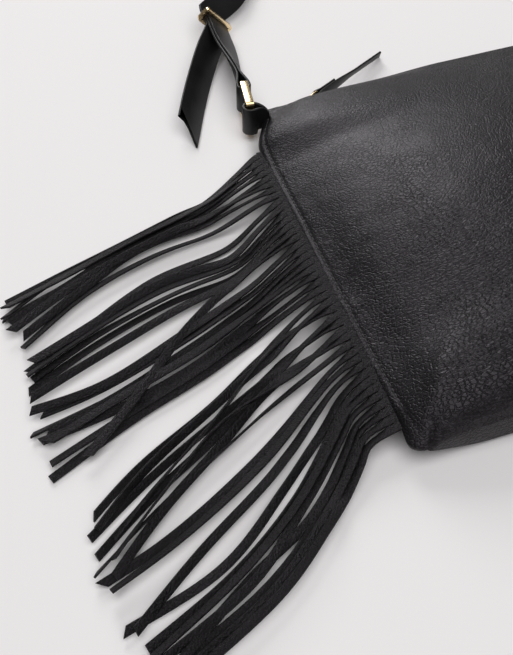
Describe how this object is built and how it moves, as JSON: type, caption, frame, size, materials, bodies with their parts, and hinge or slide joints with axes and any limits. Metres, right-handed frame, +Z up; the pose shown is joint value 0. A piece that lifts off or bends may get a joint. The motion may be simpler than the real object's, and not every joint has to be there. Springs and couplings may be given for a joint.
{
  "type": "fringed leather shoulder bag",
  "caption": "Black pebbled leather shoulder bag lying on its back, with a long leather fringe in each side seam, gold rings and a strap.",
  "frame": {"origin": "middle of the flat back, on the table that the bag lies on", "axes": "+Z up from the table through the front panel, +Y from the base to the mouth, +X across the bag"},
  "size_m": [0.7283, 0.6436, 0.0623],
  "materials": {
    "pebbled_leather": "pebbled, soft sheen",
    "strap_leather": "smooth, soft sheen",
    "fringe_leather": "fine grain, matt",
    "gold_metal": "pale gold, polished",
    "lining_cloth": "woven, matt",
    "zip_cloth": "woven tape, matt",
    "zip_teeth": "moulded, satin"
  },
  "bodies": {
    "bag": {"outer_shell": "pebbled_leather", "lining": "lining_cloth", "fringe_left": "fringe_leather", "fringe_right": "fringe_leather", "tab_left": "strap_leather", "tab_right": "strap_leather", "long_strap": "strap_leather", "zip_tape_front": "zip_cloth", "zip_tape_back": "zip_cloth", "zip_teeth_front": "zip_teeth", "zip_teeth_back": "zip_teeth"},
    "left_ring": {"ring_left": "gold_metal", "buckle_strap": "strap_leather", "strap_keeper": "gold_metal"},
    "right_ring": {"ring_right": "gold_metal"},
    "slider": {"zip_slider": "gold_metal"},
    "pull": {"pull_link": "gold_metal", "pull_thong": "strap_leather"}
  },
  "joints": [
    {"name": "zip_slide", "type": "slide", "parent": "bag", "child": "slider", "axis": [1, 0, 0], "range_m": [0, 0.2199], "deforming": ["pull_thong"]},
    {"name": "pull_swing", "type": "hinge", "parent": "slider", "child": "pull", "pos_m": [-0.11447, 0.1472, 0.01539], "axis": [0, 0, 1], "range_deg": [-20, 100], "deforming": ["pull_thong"]},
    {"name": "left_ring_swing", "type": "hinge", "parent": "bag", "child": "left_ring", "pos_m": [-0.161, 0.142, 0.0175], "axis": [0, 0, 1], "range_deg": [-30, 30], "deforming": ["long_strap"]},
    {"name": "right_ring_swing", "type": "hinge", "parent": "bag", "child": "right_ring", "pos_m": [0.161, 0.142, 0.0175], "axis": [0, 0, 1], "range_deg": [-40, 40], "deforming": ["long_strap"]}
  ]
}
